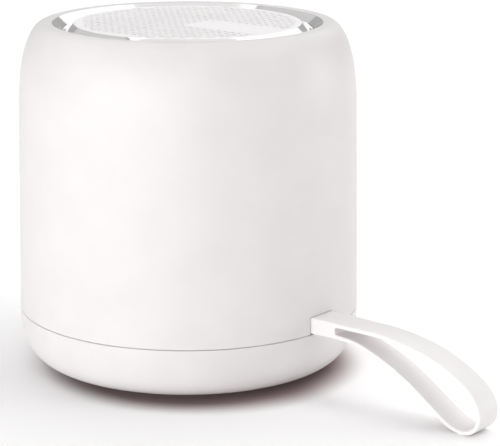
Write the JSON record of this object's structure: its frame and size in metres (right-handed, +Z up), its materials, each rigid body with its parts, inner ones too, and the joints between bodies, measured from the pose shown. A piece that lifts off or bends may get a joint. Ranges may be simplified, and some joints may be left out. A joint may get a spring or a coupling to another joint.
{
  "type": "portable speaker",
  "caption": "Round-shouldered drum speaker with a perforated top grille in a gloss groove, base cover, side buttons and a flat rubber carry strap.",
  "frame": {"origin": "centre of the foot pad's face, on the surface that the speaker stands on", "axes": "+Z up through the grille, +X towards the strap, controls on -X"},
  "size_m": [0.1191, 0.076, 0.0772],
  "materials": {
    "shell": "matt, very fine grain",
    "trim": "gloss",
    "grille": "matt",
    "cloth": "fine acoustic cloth",
    "strap_rubber": "satin silicone rubber",
    "foot_rubber": "matt",
    "button": "satin",
    "dark_plastic": "matt",
    "pale_plastic": "satin",
    "clear_plastic": "clear",
    "steel": "satin",
    "ferrite": "matt",
    "frame_metal": "satin",
    "paper": "pressed paper",
    "copper": "enamelled",
    "cell": "shrink wrap",
    "foam": "open foam",
    "board": "solder mask",
    "cans": "satin",
    "wire": "satin"
  },
  "bodies": {
    "housing": {"amplifier_chip": "dark_plastic", "baffle": "dark_plastic", "baffle_screws": "steel", "base_cover": "shell", "base_screws": "steel", "battery_cell": "cell", "battery_clamp": "dark_plastic", "battery_leads": "wire", "battery_pads": "foam", "battery_socket": "pale_plastic", "board_capacitors": "cans", "board_screws": "steel", "body_shell": "shell", "chassis": "dark_plastic", "chassis_screws": "steel", "clamp_screws": "steel", "control_board": "board", "control_ribbon": "pale_plastic", "control_screws": "steel", "driver_frame": "frame_metal", "driver_gasket": "foot_rubber", "driver_magnet": "ferrite", "driver_screws": "steel", "driver_terminals": "pale_plastic", "driver_top_plate": "steel", "driver_yoke": "steel", "foot_pad": "foot_rubber", "grille_cap": "grille", "grille_cloth": "cloth", "light_guide": "clear_plastic", "main_board": "board", "microphone": "dark_plastic", "power_inductor": "dark_plastic", "radio_module": "cans", "ribbon_socket": "pale_plastic", "speaker_leads": "wire", "speaker_socket": "pale_plastic", "spider": "paper", "status_led": "pale_plastic", "strap_pin": "steel", "strap_root": "strap_rubber", "surround": "foot_rubber", "switch_minus": "dark_plastic", "switch_play": "dark_plastic", "switch_plus": "dark_plastic", "trim_ring": "trim", "usb_socket": "steel"},
    "button_minus": {"button_minus": "button"},
    "button_play": {"button_play": "button"},
    "button_plus": {"button_plus": "button"},
    "cone": {"cone": "paper", "dust_cap": "paper", "coil_former": "paper", "voice_coil": "copper"},
    "strap_loop": {"strap_loop": "strap_rubber"}
  },
  "joints": [
    {"name": "button_minus_press", "type": "slide", "parent": "housing", "child": "button_minus", "axis": [1, 0, 0], "range_m": [0, 0.0003], "stiffness_N_per_m": 4000},
    {"name": "button_play_press", "type": "slide", "parent": "housing", "child": "button_play", "axis": [1, 0, 0], "range_m": [0, 0.0003], "stiffness_N_per_m": 4000},
    {"name": "button_plus_press", "type": "slide", "parent": "housing", "child": "button_plus", "axis": [1, 0, 0], "range_m": [0, 0.0003], "stiffness_N_per_m": 4000},
    {"name": "cone_travel", "type": "slide", "parent": "housing", "child": "cone", "axis": [0, 0, 1], "range_m": [-0.0015, 0.0015], "stiffness_N_per_m": 900, "deforming": ["surround", "spider"]},
    {"name": "strap_bend", "type": "hinge", "parent": "housing", "child": "strap_loop", "pos_m": [0.0412, 0, 0.0154], "axis": [0, -1, 0], "range_deg": [0, 60], "stiffness_Nm_per_rad": 0.004}
  ]
}
